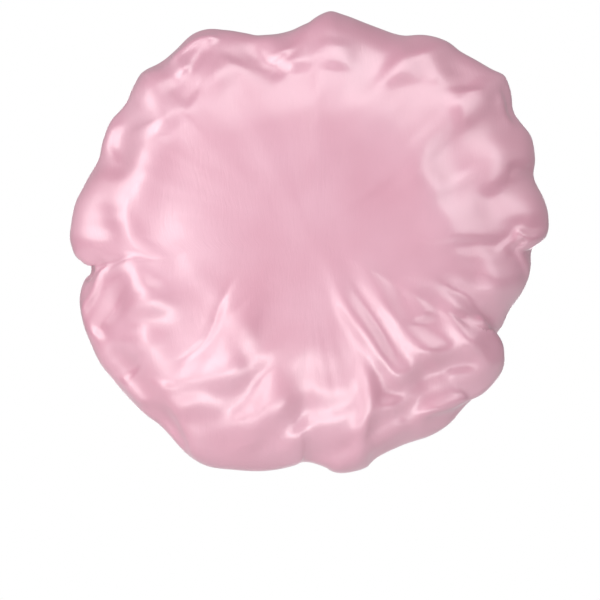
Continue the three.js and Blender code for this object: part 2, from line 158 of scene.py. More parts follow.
def mesh_object(name, points, faces, uvs=None):
    mesh = bpy.data.meshes.new(name)
    mesh.from_pydata([tuple(p) for p in points], [], [tuple(int(i) for i in f) for f in faces])
    if uvs is not None:
        layer = mesh.uv_layers.new(name=CLOTH_UV)
        corners = np.array([loop.vertex_index for loop in mesh.loops])
        layer.data.foreach_set("uv", np.asarray(uvs, float)[corners].ravel())
    mesh.polygons.foreach_set("use_smooth", [True] * len(mesh.polygons))
    mesh.update()
    made = bpy.data.objects.new(name, mesh)
    bpy.context.scene.collection.objects.link(made)
    return made


# The crown's smooth shape

ANGLES, STEPS, SHARES = 720, 80, 241


def rim_reach(angle, even):
    """How far out the back reaches: an ellipse at the middle, and the outline at the rim."""
    c, s = np.cos(angle) / CROWN_HALF_WIDTH, np.sin(angle) / CROWN_HALF_HEIGHT
    ellipse = 1 / np.hypot(c, s)
    lobed = closed_curve(OUTLINE, angle)
    return even * (ellipse + (lobed - ellipse) * even**LOBE_FADE)


def back_point(angle, turn):
    reach = rim_reach(angle, np.sin(turn) ** (2 / DOME_ROUNDNESS))
    x, z = reach * np.cos(angle), reach * np.sin(angle)
    y = z * RIM_LEAN - DOME_DEPTH * np.cos(turn)
    return np.stack(np.broadcast_arrays(x, y, z), axis=-1) + RIM_MIDDLE


def front_point(angle, share):
    rim = back_point(angle, np.pi / 2)
    height = (1 + np.sin(angle)) / 2
    swell = FRONT_SWELL * (NAPE_SWELL_SHARE + (1 - NAPE_SWELL_SHARE) * smooth(height))
    pushed = rim + swell[..., None] * np.array([0, 1, 0])
    mouth = tilted(oval(angle, CROWN_SEAM_FACE + MOUTH_FLARE, BAND_HALF + MOUTH_RISE))
    neck = tilted(oval(angle, CROWN_SEAM_FACE + NECK_FLARE, BAND_HALF + NECK_RISE))
    t = share[..., None]
    return (
        (1 - t) ** 3 * rim
        + 3 * t * (1 - t) ** 2 * pushed
        + 3 * t * t * (1 - t) * mouth
        + t**3 * neck
    )


class Shape:
    """A surface by angle and by the share of the way along the cloth, from middle to raw edge."""

    def __init__(self):
        angle = np.linspace(0, TAU, ANGLES, endpoint=False)[:, None]
        back = back_point(angle, np.linspace(0, np.pi / 2, STEPS)[None, :])
        front = front_point(angle, np.linspace(0, 1, STEPS)[None, 1:])
        levels = np.array([[BAND_HALF, BAND_HALF - SEAM_DEPTH]])
        seam = tilted(oval(angle, CROWN_SEAM_FACE, levels))
        path = np.concatenate([back, front, seam], axis=1)
        steps = np.linalg.norm(np.diff(path, axis=1), axis=-1)
        along = np.concatenate([np.zeros((ANGLES, 1)), np.cumsum(steps, axis=1)], axis=1)
        self.length = along[:, -1]
        share = along / self.length[:, None]
        self.rim = share[:, STEPS - 1]
        self.band = share[:, -2]
        even = np.linspace(0, 1, SHARES)
        self.points = np.stack(
            [
                np.stack([np.interp(even, share[a], path[a, :, k]) for k in range(3)], axis=-1)
                for a in range(ANGLES)
            ]
        )
        along_step = np.gradient(self.points, axis=1)
        around_step = np.roll(self.points, -1, axis=0) - np.roll(self.points, 1, axis=0)
        self.normals = normalized(np.cross(along_step, around_step))
        self.normals[:, 0] = [0, -1, 0]

    def neighbours(self, angle):
        """The two sampled angles on either side, and how far it is from the first to the second."""
        a = (angle % TAU) / TAU * ANGLES
        low = np.floor(a).astype(int)
        return low % ANGLES, (low + 1) % ANGLES, a - low

    def read(self, table, angle, share):
        low, high, ta = self.neighbours(angle)
        ta = ta[..., None]
        s = np.clip(share, 0, 1) * (SHARES - 1)
        j = np.minimum(np.floor(s).astype(int), SHARES - 2)
        ts = (s - j)[..., None]
        near = table[low, j] * (1 - ts) + table[low, j + 1] * ts
        far = table[high, j] * (1 - ts) + table[high, j + 1] * ts
        return near * (1 - ta) + far * ta

    def ring(self, values, angle):
        low, high, t = self.neighbours(angle)
        return values[low] * (1 - t) + values[high] * t


SHAPE = Shape()
CUT_RADIUS = 0.38


def flat_place(angle, share):
    """Where the cloth's corners lie on the flat cut: metres from its middle."""
    return np.stack([share * np.cos(angle), share * np.sin(angle)], axis=-1) * CUT_RADIUS


def cloth_disc(cells):
    """A round cut of cloth in square-ish cells: every corner's angle and radius share, and faces."""
    side = np.linspace(-1, 1, cells + 1)
    a, b = np.meshgrid(side, side, indexing="ij")
    wide = np.abs(a) >= np.abs(b)
    safe_a, safe_b = np.where(a == 0, 1, a), np.where(b == 0, 1, b)
    angle = np.where(wide, np.pi / 4 * b / safe_a, np.pi / 2 - np.pi / 4 * a / safe_b)
    radius = np.where(wide, a, b)
    angle = np.where(radius < 0, angle + np.pi, angle) % TAU
    radius = np.abs(radius)
    count = cells + 1
    i, j = np.meshgrid(np.arange(cells), np.arange(cells), indexing="ij")
    first = (i * count + j).ravel()
    faces = np.stack([first, first + count, first + count + 1, first + 1], axis=1)
    return angle.ravel(), radius.ravel(), faces


# Folds, drawn over the photograph in its pixels. Each has its height in mm, its widths in mm to
# the left and to the right of its path, and the path. A height below nought is a valley.
FOLDS = [
    # upper left
    (6.5, 20, 18, [(136, 70), (148, 92), (160, 115), (166, 140)]),
    (-4, 13, 12, [(131, 96), (123, 128), (116, 164)]),
    (7, 18, 14, [(174, 92), (166, 120), (153, 148), (138, 180), (129, 208), (125, 236), (129, 262)]),
    (-2.5, 5, 5, [(187, 73), (199, 60), (211, 46)]),
    (3.5, 6, 6, [(170, 47), (180, 63), (189, 77)]),
    (4.5, 5, 4, [(168, 70), (177, 57), (191, 45), (208, 39), (222, 42)]),
    (3, 9, 10, [(196, 86), (214, 80), (228, 70), (240, 58)]),
    (-3, 10, 10, [(172, 76), (184, 92), (200, 100)]),
    (-3, 7, 9, [(244, 34), (256, 54), (272, 68), (288, 78)]),
    (6.5, 16, 12, [(309, 22), (301, 45), (292, 78)]),
    (5.5, 10, 11, [(262, 26), (274, 46), (286, 62)]),
    # upper right
    (2.5, 10, 10, [(336, 38), (338, 74)]),
    (3.5, 8, 14, [(394, 34), (402, 60), (412, 88)]),
    (3.2, 10, 10, [(416, 46), (432, 64), (444, 88)]),
    (-2.5, 10, 10, [(446, 60), (461, 78), (468, 95)]),
    (3.5, 10, 10, [(488, 76), (481, 97), (467, 108), (444, 113)]),
    (3.2, 10, 16, [(417, 112), (419, 150), (421, 183), (433, 199), (443, 224), (447, 258)]),
    (-3, 14, 14, [(440, 128), (448, 158), (456, 188)]),
    (2, 12, 12, [(478, 112), (490, 140), (495, 172), (488, 204)]),
    (-2.5, 4, 4, [(502, 173), (517, 169), (535, 174)]),
    # lower right
    (5.2, 16, 9, [(325, 244), (336, 283), (348, 310), (367, 337), (382, 360), (402, 384), (422, 402)]),
    (5, 12, 9, [(350, 244), (366, 277), (383, 307), (407, 337), (427, 355), (452, 362)]),
    (-3, 9, 8, [(343, 264), (358, 295), (377, 325), (400, 360), (428, 380)]),
    (2.5, 12, 11, [(406, 274), (413, 300), (424, 326)]),
    (-4.5, 9, 8, [(438, 264), (450, 287), (463, 298), (477, 313), (484, 330)]),
    (3, 9, 9, [(434, 288), (457, 307), (474, 321), (493, 341)]),
    (4.5, 9, 8, [(432, 306), (452, 326), (472, 348), (494, 376)]),
    (4.5, 9, 8, [(398, 436), (420, 416), (450, 406), (480, 392), (502, 366)]),
    (5, 8, 8, [(360, 340), (366, 374), (368, 404), (361, 437), (352, 476)]),
    (-2.5, 13, 12, [(380, 376), (394, 402), (418, 428)]),
    (2.5, 9, 9, [(364, 458), (385, 438), (414, 422)]),
    # lower left
    (3.5, 4, 4, [(105, 250), (103, 273), (93, 293), (85, 306), (84, 322)]),
    (-5.5, 8, 8, [(124, 276), (117, 303), (103, 322), (94, 338)]),
    (6, 18, 14, [(127, 214), (127, 240), (133, 264), (140, 290), (146, 320), (151, 350), (160, 384)]),
    (-4, 12, 12, [(106, 340), (123, 361), (139, 374)]),
    (4, 7, 7, [(117, 372), (133, 392), (150, 408)]),
    (3, 10, 10, [(150, 412), (158, 396), (165, 378)]),
    (5.5, 12, 7, [(161, 372), (177, 410), (190, 440), (205, 466)]),
    (-3, 8, 7, [(154, 398), (173, 427), (195, 453)]),
    (-1.5, 2.6, 2.6, [(240, 271), (223, 303), (207, 340), (173, 368)]),
    (4.5, 16, 24, [(240, 268), (246, 305), (240, 340), (228, 372), (214, 400)]),
    (3, 12, 12, [(232, 404), (242, 428), (252, 456)]),
    (4, 13, 12, [(280, 420), (290, 444), (300, 470)]),
]

# Cliffs, where a lobe laps over the next one: the height in mm by which the cloth on the left of
# the path stands above the cloth on its right, and how far that dies out to each side.
CLIFFS = [
    (7, 16, [(68, 244), (84, 258), (95, 280)]),
    (8, 18, [(412, 417), (437, 413), (460, 405), (474, 397)]),
    (6, 16, [(500, 345), (488, 330), (478, 308)]),
    (6, 14, [(548, 228), (530, 234), (516, 232), (514, 243)]),
    (4, 10, [(518, 126), (505, 106), (497, 88)]),
    (4, 14, [(516, 243), (521, 262), (527, 284)]),
]
CLIFF_RUN = 2.6 * MM

# Folds that run in over the back from the rim's valleys: degrees, depth in mm, width in mm and
# how far in they go, as a share of the way to the middle.
VALLEYS = [
    (16, 4, 12, 0.3), (31, 3, 9, 0.2), (52, 4, 11, 0.3), (67, 5, 14, 0.3), (99, 6, 13, 0.3),
    (129, 5, 11, 0.3), (146, 5, 12, 0.3), (160, 5, 13, 0.3), (187, 6, 10, 0.3), (270, 2.5, 10, 0.15),
    (295, 3, 12, 0.2), (315, 5, 12, 0.3), (335, 6, 12, 0.3), (354, 5, 10, 0.25),
]

FOLD_EASE, FOLD_SPREAD = 0.95, 1.15
PATH_PLACES = 24
# A fold or a cliff is drawn as far out as this many of its widths.
WIDTHS = 3
# The shares of a path over which a fold rises and dies out, and a cliff does either
FOLD_START, FOLD_END, CLIFF_END = 0.4, 0.25, 0.3


def curve_through(points, count):
    """A smooth open curve through the points, as count places."""
    points = np.asarray(points, float)
    ends = np.array([2 * points[0] - points[1], *points, 2 * points[-1] - points[-2]])
    at = np.linspace(0, len(points) - 1, count)
    i = np.minimum(at.astype(int), len(points) - 2)
    t = (at - i)[:, None]
    p0, p1, p2, p3 = (ends[i + k] for k in range(4))
    return 0.5 * (
        2 * p1
        + (p2 - p0) * t
        + (2 * p0 - 5 * p1 + 4 * p2 - p3) * t**2
        + (3 * p1 - p0 - 3 * p2 + p3) * t**3
    )


def cloth_place(pixels):
    """Where pixels of the back lie on the flat cut: metres from its middle."""
    x, z = seen_place(pixels)
    angle, reach = np.arctan2(z, x) % TAU, np.hypot(x, z)
    even, shares = np.arange(SHARES) / (SHARES - 1), []
    for a, r in zip(angle, reach):
        nearest = int(round(a / TAU * ANGLES)) % ANGLES
        back = even <= SHAPE.rim[nearest]
        row = SHAPE.points[nearest][back]
        seen = np.hypot(row[:, 0] - RIM_MIDDLE[0], row[:, 2] - RIM_MIDDLE[2])
        shares.append(np.interp(r, seen, even[back]))
    shares = np.array(shares) * CUT_RADIUS
    return np.stack([shares * np.cos(angle), shares * np.sin(angle)], axis=-1)


def near_curve(places, curve):
    """Each place's distance from a curve, below nought on its right, and how far along it is."""
    best = np.full(len(places), np.inf)
    where, side = np.zeros(len(places)), np.ones(len(places))
    for k in range(len(curve) - 1):
        start, step = curve[k], curve[k + 1] - curve[k]
        ahead = places - start
        t = np.clip((ahead @ step) / max(step @ step, TINY), 0, 1)
        far = np.linalg.norm(ahead - t[:, None] * step, axis=1)
        nearer = far < best
        best[nearer] = far[nearer]
        where[nearer] = (k + t[nearer]) / (len(curve) - 1)
        turn = step[0] * ahead[:, 1] - step[1] * ahead[:, 0]
        side[nearer] = np.where(turn[nearer] >= 0, 1, -1)
    return best * side, where


def beside(places, path, reach):
    """Which places lie within reach of a drawn path's box, how far off it and how far along it."""
    curve = curve_through(cloth_place(path), PATH_PLACES)
    low, high = curve.min(axis=0) - reach, curve.max(axis=0) + reach
    here = np.nonzero(np.all((places > low) & (places < high), axis=1))[0]
    return here, *near_curve(places[here], curve)


# Soft swells all over the cloth: each wave has its turn in degrees, its length in mm and its share
# of the rise.
SWELLS = [
    (12, 92, 1.0), (77, 84, 0.9), (131, 66, 0.8), (48, 57, 0.6), (103, 49, 0.5), (160, 61, 0.6),
    (24, 38, 0.25), (118, 34, 0.25),
]
SWELL_RISE = 1.6 * MM
WIDE_WARP, FINE_WARP = 0.018, 0.008
SWELL_SHIFT = 1.7
# The back's middle has only this share of the swells, as far out as the calm share of the cloth.
MIDDLE_SHARE, CALM_SHARE, CALM_RAMP = 0.15, 0.2, 0.3


def swells(places):
    """An even, irregular swell of the cloth, warped so that no wave runs straight."""
    x, y = places[:, 0], places[:, 1]
    bent_x = x + WIDE_WARP * np.sin(y / 0.045 + 1) + FINE_WARP * np.sin(x / 0.021 + y / 0.033)
    bent_y = y + WIDE_WARP * np.sin(x / 0.052 + 2) + FINE_WARP * np.sin(x / 0.029 - y / 0.024)
    height = np.zeros(len(places))
    for k, (turn, length, rise) in enumerate(SWELLS):
        t = math.radians(turn)
        run = bent_x * math.cos(t) + bent_y * math.sin(t)
        height += rise * np.sin(TAU * run / (length * MM) + SWELL_SHIFT * k)
    return height * SWELL_RISE


def relief(angle, share):
    """How far the cloth's main forms stand out from its smooth shape, in metres."""
    places = flat_place(angle, share)
    uneasy = MIDDLE_SHARE + (1 - MIDDLE_SHARE) * smooth((share - CALM_SHARE) / CALM_RAMP)
    height = swells(places) * uneasy
    rim = SHAPE.ring(SHAPE.rim, angle)
    for degrees, depth, width, run in VALLEYS:
        aside = (angle - math.radians(degrees) + np.pi) % TAU - np.pi
        across = share * CUT_RADIUS * aside
        inward = np.clip((rim - share) / (run * rim), 0, 1)
        outward = np.clip((share - rim) / (0.8 * (1 - rim)), 0, 1)
        fade = (1 - smooth(inward)) * (1 - smooth(outward)) * np.cos(np.clip(aside, -1.5, 1.5))
        height -= depth * MM * fade * np.exp(-((across / (width * MM)) ** 2))
    return height


def folds(angle, share):
    """The drawn folds and cliffs, in metres above the cloth."""
    places = flat_place(angle, share)
    height = np.zeros(len(places))
    for rise, left, right, path in FOLDS:
        here, far, along = beside(places, path, WIDTHS * max(left, right) * FOLD_SPREAD * MM)
        taper = smooth(along / FOLD_START) * smooth((1 - along) / FOLD_END)
        width = np.where(far > 0, left, right) * FOLD_SPREAD * MM
        height[here] += rise * FOLD_EASE * MM * taper * np.exp(-((far / width) ** 2))
    for rise, reach, path in CLIFFS:
        here, far, along = beside(places, path, WIDTHS * reach * MM)
        taper = smooth(along / CLIFF_END) * smooth((1 - along) / CLIFF_END)
        step = 0.5 * np.tanh(far / CLIFF_RUN) * np.exp(-((far / (reach * MM)) ** 2))
        height[here] += rise * MM * taper * step
    return height


# Short creases that run outwards to the rim: each has its height in mm, how many go round the
# crown, and how many follow each other from the middle to the raw edge.
CREASES = [(0.5, 7, 4), (0.3, 15, 9)]


def creases(angle, share):
    height = np.zeros(len(angle))
    for rise, around, along in CREASES:
        x, y = around * np.cos(angle), around * np.sin(angle)
        z = along * share + 0.35 * np.sin(3 * angle)
        height += rise * MM * np.array([noise.noise(place) for place in zip(x, y, z)])
    return height * smooth((share - 0.12) / 0.3)


GATHERS = 62
GATHER_RISE = 3.2 * MM
# How the gathers wander to either side and differ in height, as waves round the opening
GATHER_WANDER = [(0.35, 3, 1), (0.25, 7, 4), (0.15, 13, 0)]
GATHER_UNEVEN = [(0.3, 11, 2), (0.2, 17, 0)]
# Over the front the gathers grow for the first share of the way, and are pinched in the rest.
GATHER_GROWTH, PINCH_RUN = 0.8, 0.2
SEAM_PINCH = 0.08
SEAM_STEP = 0.95 * MM
# Forms die out over this share of the cloth before it enters the band.
BAND_FADE = 0.06


def waves(angle, table):
    """A sum of waves round the opening: each has its height, its count and its shift."""
    return sum(height * np.sin(count * angle + shift) for height, count, shift in table)


def gathers(angle, share):
    """The pleats that run out from the band over the front."""
    rim, band = SHAPE.ring(SHAPE.rim, angle), SHAPE.ring(SHAPE.band, angle)
    front = np.clip((share - rim) / (band - rim), 0, 1)
    wander = waves(angle, GATHER_WANDER)
    wave = np.sin(GATHERS * angle + 5 * wander) + 0.35 * np.sin(2 * GATHERS * angle + 9 * wander)
    uneven = 1 + waves(angle, GATHER_UNEVEN)
    rise = smooth(front / GATHER_GROWTH) * GATHER_RISE
    pinch = 1 - (1 - SEAM_PINCH) * smooth((front - GATHER_GROWTH) / PINCH_RUN)
    return wave * uneven * rise * pinch


RIM_HOLD = 0.85


def steadied(moves, places):
    """Moves with most of their part along the rim's plane taken out, so the outline stays."""
    out = normalized((places - RIM_MIDDLE) * np.array([1, 0, 1]))
    return moves - RIM_HOLD * np.sum(moves * out, axis=1, keepdims=True) * out


def crown_points(cells, inward=0.0):
    angle, share, faces = cloth_disc(cells)
    places = SHAPE.read(SHAPE.points, angle, share)
    normals = normalized(SHAPE.read(SHAPE.normals, angle, share))
    band = SHAPE.ring(SHAPE.band, angle)
    free = smooth((band - share) / BAND_FADE)
    sunk = np.where(inward > 0, SEAM_STEP + (inward - SEAM_STEP) * free, 0)
    main = steadied(normals * (relief(angle, share) * free)[:, None], places)
    places = places + main + normals * (gathers(angle, share) - sunk)[:, None]
    return places, faces, flat_place(angle, share)


# The crown is settled on a grid of this many cells, and then refined to twice as many.
CELLS = 160
LINING_CELLS = 120
SETTLE_FRAMES = 20
PRESSURE = 0.4
SETTLE_CAP = 14 * MM
CALM_ROUNDS = 14
# How light the cloth is, and how stiffly it stretches, shears and bends
CLOTH_SETTINGS = {
    "pin_stiffness": 1,
    "quality": 5,
    "mass": 0.0001,
    "air_damping": 2,
    "tension_stiffness": 8,
    "compression_stiffness": 8,
    "shear_stiffness": 3,
    "tension_damping": 4,
    "compression_damping": 4,
    "shear_damping": 3,
    "bending_stiffness": 0.3,
    "bending_damping": 0.5,
    "use_pressure": True,
}
LEAST_HOLD = 0.001
# From the rim to the band the cloth is held more and more, fully after this share of the way.
# Within about this share of the cloth from the rim, its moves hardly change the outline.
HOLD_RUN, RIM_BREADTH = 0.35, 0.12
# Towards the rim folds stand out more: their height is divided by how much the cloth faces the
# back, and never by less than this.
LEAST_FACING = 0.45
LINING_DEPTH = 5 * MM
SHEET_THICKNESS = 0.4 * MM


def settle(name, places, faces, flat, held, pressure):
    """Lets the cloth take its own length from the flat cut, blown out a little from inside."""
    made = mesh_object(name, places, faces, flat)
    made.shape_key_add(name="worn")
    cut = made.shape_key_add(name="cut")
    laid = np.stack([flat[:, 0], np.full(len(flat), RIM_MIDDLE[1]), flat[:, 1]], axis=-1)
    cut.data.foreach_set("co", laid.ravel())
    cut.value = 0
    group = made.vertex_groups.new(name="held")
    for index, weight in enumerate(held):
        if weight > LEAST_HOLD:
            group.add([index], float(weight), "REPLACE")
    cloth = made.modifiers.new("cloth", "CLOTH")
    settings = cloth.settings
    settings.rest_shape_key = cut
    settings.vertex_group_mass = group.name
    for setting, value in CLOTH_SETTINGS.items():
        setattr(settings, setting, value)
    settings.uniform_pressure_force = pressure
    settings.effector_weights.gravity = 0
    cloth.collision_settings.use_collision = False
    cloth.point_cache.frame_start = 1
    cloth.point_cache.frame_end = SETTLE_FRAMES
    for frame_number in range(1, SETTLE_FRAMES + 1):
        bpy.context.scene.frame_set(frame_number)
    view = bpy.context.evaluated_depsgraph_get()
    settled = made.evaluated_get(view).to_mesh()
    moved = np.empty(len(settled.vertices) * 3)
    settled.vertices.foreach_get("co", moved)
    bpy.data.objects.remove(made)
    bpy.context.scene.frame_set(1)
    return moved.reshape(-1, 3)


def surface_normals(places, faces):
    a, b, c, d = (places[faces[:, k]] for k in range(4))
    across = np.cross(c - a, d - b)
    total = np.zeros_like(places)
    for k in range(4):
        np.add.at(total, faces[:, k], across)
    return normalized(total)


def between(grid):
    """Puts a row half way between each two rows, on the smooth curve through four of them."""
    ends = np.concatenate([grid[:1], grid, grid[-1:]])
    half = (9 * (ends[1:-2] + ends[2:-1]) - ends[:-3] - ends[3:]) / 16
    finer = np.empty((2 * len(grid) - 1, *grid.shape[1:]))
    finer[::2], finer[1::2] = grid, half
    return finer


def calmed(grid, rounds):
    """A grid of moves with its finest ripples taken out."""
    for _ in range(rounds):
        inner = grid[:-2, 1:-1] + grid[2:, 1:-1] + grid[1:-1, :-2] + grid[1:-1, 2:]
        grid = grid.copy()
        grid[1:-1, 1:-1] = grid[1:-1, 1:-1] / 2 + inner / 8
    return grid


def refined(values, cells):
    """Values at the cloth's corners, read on a grid with twice as many cells."""
    grid = between(calmed(values.reshape(cells + 1, cells + 1, -1), CALM_ROUNDS))
    grid = between(grid.transpose(1, 0, 2)).transpose(1, 0, 2)
    return grid.reshape(-1, values.shape[-1])


def crown_piece():
    places, faces, flat = crown_points(2 * CELLS)
    angle, share, _ = cloth_disc(2 * CELLS)
    rim, band = SHAPE.ring(SHAPE.rim, angle), SHAPE.ring(SHAPE.band, angle)
    rough, rough_faces, rough_flat = crown_points(CELLS)
    rough_angle, rough_share, _ = cloth_disc(CELLS)
    rough_rim = SHAPE.ring(SHAPE.rim, rough_angle)
    rough_band = SHAPE.ring(SHAPE.band, rough_angle)
    held = smooth((rough_share - rough_rim) / (rough_band - rough_rim) / HOLD_RUN)
    moved = settle("crown_settling", rough, rough_faces, rough_flat, held, PRESSURE) - rough
    far = np.linalg.norm(moved, axis=1)
    moved *= np.minimum(1, SETTLE_CAP / np.maximum(far, TINY))[:, None]
    moved = refined(moved, CELLS)
    by_rim = np.exp(-(((share - rim) / RIM_BREADTH) ** 2))[:, None]
    places = places + moved * (1 - by_rim) + steadied(moved, places) * by_rim
    lift = (folds(angle, share) + creases(angle, share)) * smooth((band - share) / BAND_FADE)
    outward = surface_normals(places, faces)
    lift = lift / np.clip(np.abs(outward[:, 1]), LEAST_FACING, 1)
    places = places + steadied(outward * lift[:, None], places)
    return mesh_object("crown_satin", places, faces, flat)


def lining_piece():
    places, faces, flat = crown_points(LINING_CELLS, inward=LINING_DEPTH)
    return mesh_object("lining_satin", places, faces, flat)


# The band

PUCKERS_TOP, PUCKERS_BOTTOM = 92, 84
PUCKER_RISE, INNER_PUCKER_RISE = 2.0 * MM, 1.3 * MM
PLY = 0.35 * MM
# The casing's flat strip, before it is gathered on to the elastic
CASING_LENGTH, CASING_WIDTH = 0.70, 0.09
BAND_AROUND, BAND_ACROSS = 1104, 13
FOLD_BEND, FOLD_STEPS = 2 * MM, 8
CHANNEL_TOP = BAND_HALF - 10.7 * MM
CHANNEL_BOTTOM = -BAND_HALF + 0.6 * MM
BAND_ROOM = 3.65 * MM
LAP_OUT = 1.35 * MM
NEEDLE_LEVEL = BAND_HALF - 3.5 * MM
# How flat the stitches press the gathers, and how much of them is left at the edge and the fold,
# each with how far that reaches
STITCH_GRIP, STITCH_REACH = 0.82, 2.6 * MM
EDGE_SHARE, EDGE_REACH = 0.45, 9 * MM
FOLD_SHARE, FOLD_REACH = 0.25, 7 * MM


def pucker(angle, level, seed):
    """The band's small gathers, from 0 in a valley to 1 on a crest. Some fork on the way down."""
    wander = 0.6 * np.sin(5 * angle + seed) + 0.5 * np.sin(11 * angle + 2 * seed)
    top = np.sin(PUCKERS_TOP * angle + 3 * wander + seed)
    bottom = np.sin(PUCKERS_BOTTOM * angle - 2 * wander + 3 * seed)
    mix = smooth((BAND_HALF - level) / (2 * BAND_HALF))
    wave = top * (1 - mix) + bottom * mix
    uneven = 0.75 + 0.25 * np.sin(23 * angle + 4 * seed) * np.sin(7 * angle + seed)
    return (0.5 + 0.5 * np.clip(wave * 1.3, -1, 1)) * uneven


def stands_off(level):
    """How much of the gathers a level of the band has: little at the stitches and the fold."""
    stitched = 1 - STITCH_GRIP * np.exp(-(((level - NEEDLE_LEVEL) / STITCH_REACH) ** 2))
    fold = smooth((level + BAND_HALF) / FOLD_REACH)
    edge = EDGE_SHARE + (1 - EDGE_SHARE) * smooth((BAND_HALF - level) / EDGE_REACH)
    return stitched * edge * (FOLD_SHARE + (1 - FOLD_SHARE) * fold)


def lap_swell(angle, level):
    aside = np.abs((angle - NAPE + np.pi) % TAU - np.pi) * OPENING_WIDTH / 2
    swell = LAP_OUT * (1 - smooth((aside - LAP_HALF - LAP_RAMP) / LAP_RAMP))
    return swell * np.clip((BAND_HALF - level) / (BAND_HALF - CHANNEL_TOP), 0, 1)


def outer_face(angle, level):
    """The outside of the band's outer ply."""
    rise = PUCKER_RISE * pucker(angle, level, 1) * stands_off(level)
    return BAND_ROOM + PLY + rise + lap_swell(angle, level)


def inner_face(angle, level):
    """The side of the band's inner ply that lies on the skin."""
    return 0.2 * MM - INNER_PUCKER_RISE * pucker(angle, level, 2) * stands_off(level)


def ring_faces(around, across, closed_section=False):
    i, j = np.meshgrid(np.arange(around), np.arange(across - (not closed_section)), indexing="ij")
    i, j = i.ravel(), j.ravel()
    after_i, after_j = (i + 1) % around, (j + 1) % across
    corners = [i * across + j, after_i * across + j, after_i * across + after_j, i * across + after_j]
    return np.stack(corners, axis=1)


def casing_piece():
    """The band's satin: down the outside, round the fold at the face edge and up the inside."""
    angle = np.linspace(0, TAU, BAND_AROUND, endpoint=False)[:, None]
    down = np.linspace(BAND_HALF, -BAND_HALF + FOLD_BEND, BAND_ACROSS)[None, :]
    outer, inner = outer_face(angle, down), inner_face(angle, down[:, ::-1])
    turn = np.linspace(0, np.pi, FOLD_STEPS)[None, 1:-1]
    first, last = outer[:, -1:], inner[:, :1]
    middle, half = (first + last) / 2, (first - last) / 2
    fold = middle + half * np.cos(turn)
    fold_level = -BAND_HALF + FOLD_BEND - FOLD_BEND * np.sin(turn)
    radial = np.concatenate([outer, fold, inner], axis=1)
    levels = (down, fold_level, down[:, ::-1])
    rows = [np.broadcast_to(part, (BAND_AROUND, part.shape[1])) for part in levels]
    level = np.concatenate(rows, axis=1)
    points = tilted(oval(angle, radial, level))
    across = points.shape[1]
    steps = np.linalg.norm(np.diff(points, axis=1), axis=-1).mean(axis=0)
    v = np.concatenate([[0], np.cumsum(steps)])
    u = angle[:, 0] / TAU * CASING_LENGTH
    uvs = np.stack(np.broadcast_arrays(u[:, None], v[None, :]), axis=-1).reshape(-1, 2)
    faces = ring_faces(BAND_AROUND, across)[:, ::-1]
    return mesh_object("band_satin", points.reshape(-1, 3), faces, uvs)


ELASTIC_RIBS, ELASTIC_AROUND = 14, 400
RIB_RISE = 0.12 * MM
ELASTIC_INSIDE, ELASTIC_THICKNESS = 0.95 * MM, 1.4 * MM
ELASTIC_PLAY = 1.4 * MM
LAP_RISE = 1.75 * MM


def elastic_piece():
    """One strip of ribbed elastic. Its outer end lies on its inner end at the nape."""
    radius = OPENING_WIDTH / 2
    start = NAPE - LAP_HALF / radius
    climb = LAP_RAMP / radius
    angle = np.linspace(start, start + TAU + 2 * LAP_HALF / radius, ELASTIC_AROUND)[:, None]
    rise = LAP_RISE * smooth((angle - TAU - start + climb) / climb)
    bottom = CHANNEL_BOTTOM + ELASTIC_PLAY
    share = np.linspace(0, 1, ELASTIC_RIBS * 4 + 1)
    rib = RIB_RISE * np.cos(share * ELASTIC_RIBS * TAU)
    levels = bottom + 2 * ELASTIC_HALF * share
    level = np.concatenate([levels, levels[::-1]])[None, :]
    radial = np.concatenate([ELASTIC_THICKNESS - RIB_RISE + rib, (RIB_RISE - rib)[::-1]])[None, :]
    points = tilted(oval(angle, ELASTIC_INSIDE + rise + radial, level))
    around, across = points.shape[:2]
    quads = ring_faces(around, across, closed_section=True).reshape(around, across, 4)
    faces = list(quads[:-1].reshape(-1, 4)[:, ::-1])
    faces.append(np.arange(across))
    faces.append(((around - 1) * across + np.arange(across))[::-1])
    return mesh_object("elastic_ribbed", points.reshape(-1, 3), faces)


STITCH_LENGTH, STITCH_GAP = 2.5 * MM, 0.7 * MM
STITCH_THICK = 0.42 * MM
# How far a stitch stands proud, dips and thins at its ends, in shares of its thickness
STITCH_PROUD, STITCH_DIP, STITCH_TAPER = 0.3, 0.9, 0.35
STITCH_SPAN = (0.08, 0.92)
STITCH_RINGS, STITCH_SIDES = 7, 8
RUN_PLACES = 2881


